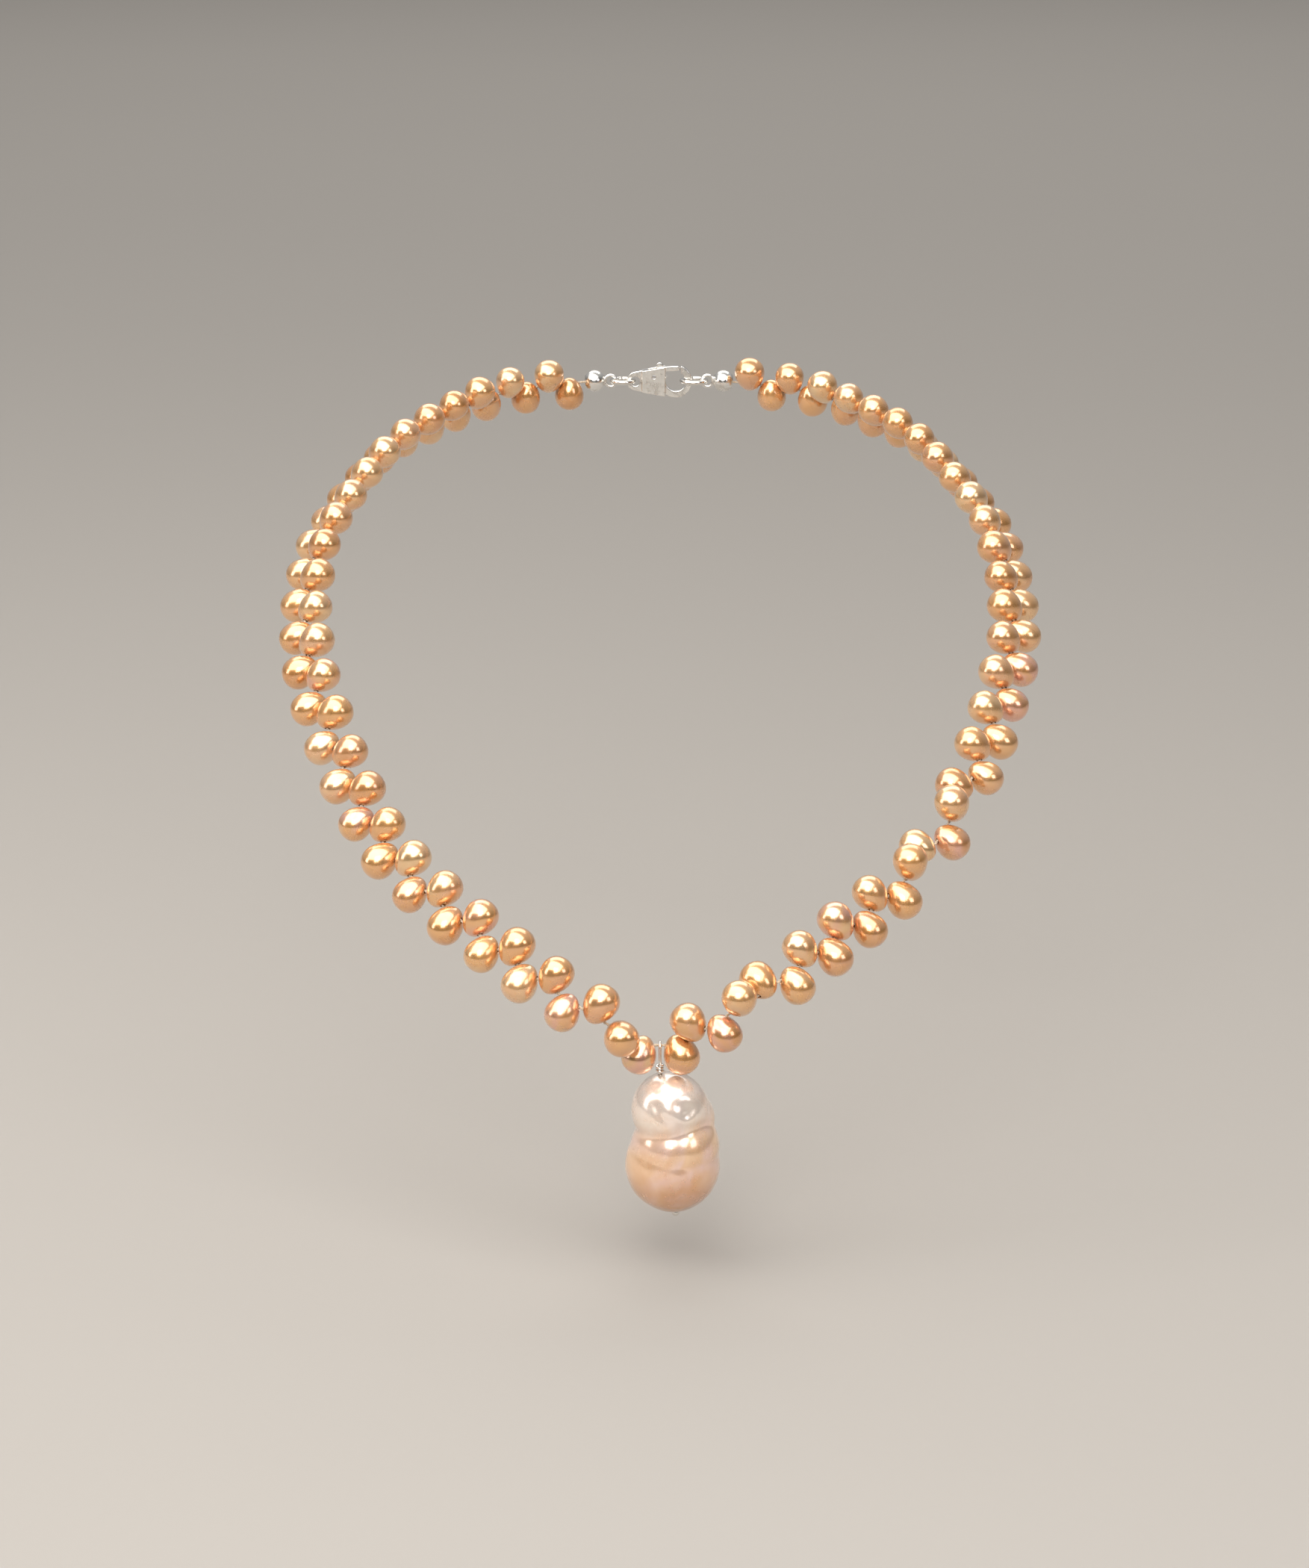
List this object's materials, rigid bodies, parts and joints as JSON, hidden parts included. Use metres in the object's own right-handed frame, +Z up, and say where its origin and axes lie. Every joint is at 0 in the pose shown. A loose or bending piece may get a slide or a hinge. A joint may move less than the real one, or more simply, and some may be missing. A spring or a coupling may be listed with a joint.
{
  "type": "pearl necklace",
  "caption": "Strand of egg-shaped pearls leaning to either side of the thread, with a baroque pearl drop at the front and a lobster clasp at the nape.",
  "frame": {"origin": "middle of the clasp's flat face that bears on the nape", "axes": "+Z up, -Y towards the wearer's front, +X to the right of someone facing the wearer"},
  "size_m": [0.1206, 0.1549, 0.1015],
  "materials": {
    "small_nacre": "golden peach nacre with a soft metallic lustre",
    "drop_nacre": "cream and pale peach nacre with a pink overtone",
    "silk_thread": "twisted silk beading thread",
    "silver_wire": "drawn and polished silver wire",
    "silver_casting": "cast and tumbled silver",
    "spring_steel": "drawn spring steel"
  },
  "bodies": {
    "nape": {"thread_nape": "silk_thread", "pearls_left_neck": "small_nacre", "pearls_right_neck": "small_nacre", "pearls_left_nape": "small_nacre", "pearls_right_nape": "small_nacre", "bead_tip_left": "silver_casting", "bead_tip_right": "silver_casting", "clasp_body": "silver_casting", "clasp_pin": "spring_steel", "clasp_spring": "spring_steel"},
    "shoulder": {"thread_shoulder": "silk_thread", "pearls_left_shoulder": "small_nacre", "pearls_right_shoulder": "small_nacre"},
    "chest": {"thread_chest": "silk_thread", "pearls_left_chest": "small_nacre", "pearls_right_chest": "small_nacre"},
    "front": {"thread_front": "silk_thread"},
    "pearl_left_1": {"pearl_left_1": "small_nacre"},
    "pearl_left_2": {"pearl_left_2": "small_nacre"},
    "pearl_left_3": {"pearl_left_3": "small_nacre"},
    "pearl_left_4": {"pearl_left_4": "small_nacre"},
    "pearl_left_5": {"pearl_left_5": "small_nacre"},
    "pearl_left_6": {"pearl_left_6": "small_nacre"},
    "pearl_left_7": {"pearl_left_7": "small_nacre"},
    "pearl_left_8": {"pearl_left_8": "small_nacre"},
    "pearl_left_9": {"pearl_left_9": "small_nacre"},
    "pearl_left_10": {"pearl_left_10": "small_nacre"},
    "pearl_right_1": {"pearl_right_1": "small_nacre"},
    "pearl_right_2": {"pearl_right_2": "small_nacre"},
    "pearl_right_3": {"pearl_right_3": "small_nacre"},
    "pearl_right_4": {"pearl_right_4": "small_nacre"},
    "pearl_right_5": {"pearl_right_5": "small_nacre"},
    "pearl_right_6": {"pearl_right_6": "small_nacre"},
    "pearl_right_7": {"pearl_right_7": "small_nacre"},
    "pearl_right_8": {"pearl_right_8": "small_nacre"},
    "pearl_right_9": {"pearl_right_9": "small_nacre"},
    "pearl_right_10": {"pearl_right_10": "small_nacre"},
    "drop_wire": {"drop_headpin": "silver_wire"},
    "drop": {"drop_pearl": "drop_nacre"},
    "ring_left": {"jump_ring_left": "silver_wire"},
    "ring_right": {"jump_ring_right": "silver_wire"},
    "lever": {"clasp_lever": "silver_casting"}
  },
  "joints": [
    {"name": "shoulder_lift", "type": "hinge", "parent": "nape", "child": "shoulder", "pos_m": [0.00002, -0.06837, -0.01585], "axis": [-1, 0.0038, 0.0015], "range_deg": [0, 25]},
    {"name": "chest_lift", "type": "hinge", "parent": "shoulder", "child": "chest", "pos_m": [0.00019, -0.1019, -0.03394], "axis": [-0.9999, -0.0097, -0.0063], "range_deg": [0, 25]},
    {"name": "front_lift", "type": "hinge", "parent": "chest", "child": "front", "pos_m": [-0.00041, -0.13144, -0.05333], "axis": [-0.9999, 0.0124, 0.0065], "range_deg": [0, 25]},
    {"name": "rock_left_1", "type": "hinge", "parent": "front", "child": "pearl_left_1", "pos_m": [-0.00233, -0.14468, -0.06926], "axis": [-0.8419, -0.3607, 0.4014], "range_deg": [-25, 12]},
    {"name": "rock_left_2", "type": "hinge", "parent": "front", "child": "pearl_left_2", "pos_m": [-0.00605, -0.14634, -0.06678], "axis": [-0.7501, -0.3092, 0.5845], "range_deg": [-25, 25]},
    {"name": "rock_left_3", "type": "hinge", "parent": "front", "child": "pearl_left_3", "pos_m": [-0.00962, -0.1468, -0.06433], "axis": [-0.8514, 0.1272, 0.5089], "range_deg": [-25, 25]},
    {"name": "rock_left_4", "type": "hinge", "parent": "front", "child": "pearl_left_4", "pos_m": [-0.01302, -0.14574, -0.06245], "axis": [-0.8184, 0.4047, 0.4079], "range_deg": [-25, 25]},
    {"name": "rock_left_5", "type": "hinge", "parent": "front", "child": "pearl_left_5", "pos_m": [-0.01615, -0.14395, -0.06092], "axis": [-0.7759, 0.5072, 0.3752], "range_deg": [-25, 25]},
    {"name": "rock_left_6", "type": "hinge", "parent": "front", "child": "pearl_left_6", "pos_m": [-0.01913, -0.14187, -0.05947], "axis": [-0.7445, 0.5591, 0.3648], "range_deg": [-25, 25]},
    {"name": "rock_left_7", "type": "hinge", "parent": "front", "child": "pearl_left_7", "pos_m": [-0.022, -0.13962, -0.05803], "axis": [-0.7227, 0.5841, 0.3695], "range_deg": [-25, 25]},
    {"name": "rock_left_8", "type": "hinge", "parent": "front", "child": "pearl_left_8", "pos_m": [-0.02482, -0.1373, -0.05659], "axis": [-0.7116, 0.6001, 0.3654], "range_deg": [-25, 25]},
    {"name": "rock_left_9", "type": "hinge", "parent": "front", "child": "pearl_left_9", "pos_m": [-0.02759, -0.13491, -0.0552], "axis": [-0.7045, 0.6211, 0.3434], "range_deg": [-25, 25]},
    {"name": "rock_left_10", "type": "hinge", "parent": "front", "child": "pearl_left_10", "pos_m": [-0.03039, -0.13237, -0.05383], "axis": [-0.6883, 0.6412, 0.3393], "range_deg": [-25, 25]},
    {"name": "rock_right_1", "type": "hinge", "parent": "front", "child": "pearl_right_1", "pos_m": [0.00233, -0.14468, -0.06926], "axis": [0.8419, -0.3607, 0.4014], "range_deg": [-25, 25]},
    {"name": "rock_right_2", "type": "hinge", "parent": "front", "child": "pearl_right_2", "pos_m": [0.00524, -0.14606, -0.0674], "axis": [0.7341, -0.3662, 0.5718], "range_deg": [-25, 25]},
    {"name": "rock_right_3", "type": "hinge", "parent": "front", "child": "pearl_right_3", "pos_m": [0.0082, -0.14689, -0.06523], "axis": [0.8195, -0.0731, 0.5684], "range_deg": [-25, 25]},
    {"name": "rock_right_4", "type": "hinge", "parent": "front", "child": "pearl_right_4", "pos_m": [0.01176, -0.14624, -0.06311], "axis": [0.8374, 0.3354, 0.4316], "range_deg": [-8, 25]},
    {"name": "rock_right_5", "type": "hinge", "parent": "front", "child": "pearl_right_5", "pos_m": [0.01554, -0.14432, -0.06121], "axis": [0.7834, 0.4919, 0.3799], "range_deg": [-25, 8]},
    {"name": "rock_right_6", "type": "hinge", "parent": "front", "child": "pearl_right_6", "pos_m": [0.01878, -0.14213, -0.05964], "axis": [0.7483, 0.5538, 0.3652], "range_deg": [-25, 25]},
    {"name": "rock_right_7", "type": "hinge", "parent": "front", "child": "pearl_right_7", "pos_m": [0.02156, -0.13998, -0.05826], "axis": [0.7255, 0.5816, 0.3678], "range_deg": [-25, 25]},
    {"name": "rock_right_8", "type": "hinge", "parent": "front", "child": "pearl_right_8", "pos_m": [0.02426, -0.13777, -0.05687], "axis": [0.7124, 0.5964, 0.3699], "range_deg": [-25, 25]},
    {"name": "rock_right_9", "type": "hinge", "parent": "front", "child": "pearl_right_9", "pos_m": [0.02692, -0.1355, -0.05553], "axis": [0.7071, 0.6161, 0.347], "range_deg": [-25, 25]},
    {"name": "rock_right_10", "type": "hinge", "parent": "front", "child": "pearl_right_10", "pos_m": [0.02962, -0.13309, -0.05421], "axis": [0.6938, 0.6356, 0.3385], "range_deg": [-25, 25]},
    {"name": "drop_swing", "type": "hinge", "parent": "front", "child": "drop_wire", "pos_m": [0, -0.144, -0.07], "axis": [-1, 0, 0], "range_deg": [-20, 70]},
    {"name": "drop_spin", "type": "hinge", "parent": "drop_wire", "child": "drop", "pos_m": [0, -0.144, -0.07432], "axis": [-0.1045, 0, 0.9945], "continuous": true},
    {"name": "ring_left_tilt", "type": "hinge", "parent": "nape", "child": "ring_left", "pos_m": [-0.0083, 0.0012, 0], "axis": [0, 1, 0], "range_deg": [-4, 4]},
    {"name": "ring_right_tilt", "type": "hinge", "parent": "nape", "child": "ring_right", "pos_m": [0.0083, 0.0012, 0], "axis": [0, 1, 0], "range_deg": [-4, 4]},
    {"name": "lever_press", "type": "hinge", "parent": "nape", "child": "lever", "pos_m": [-0.0009, 0.0012, 0.0009], "axis": [0, 1, 0], "range_deg": [0, 16], "stiffness_Nm_per_rad": 0.002, "springref_deg": -20.05}
  ]
}
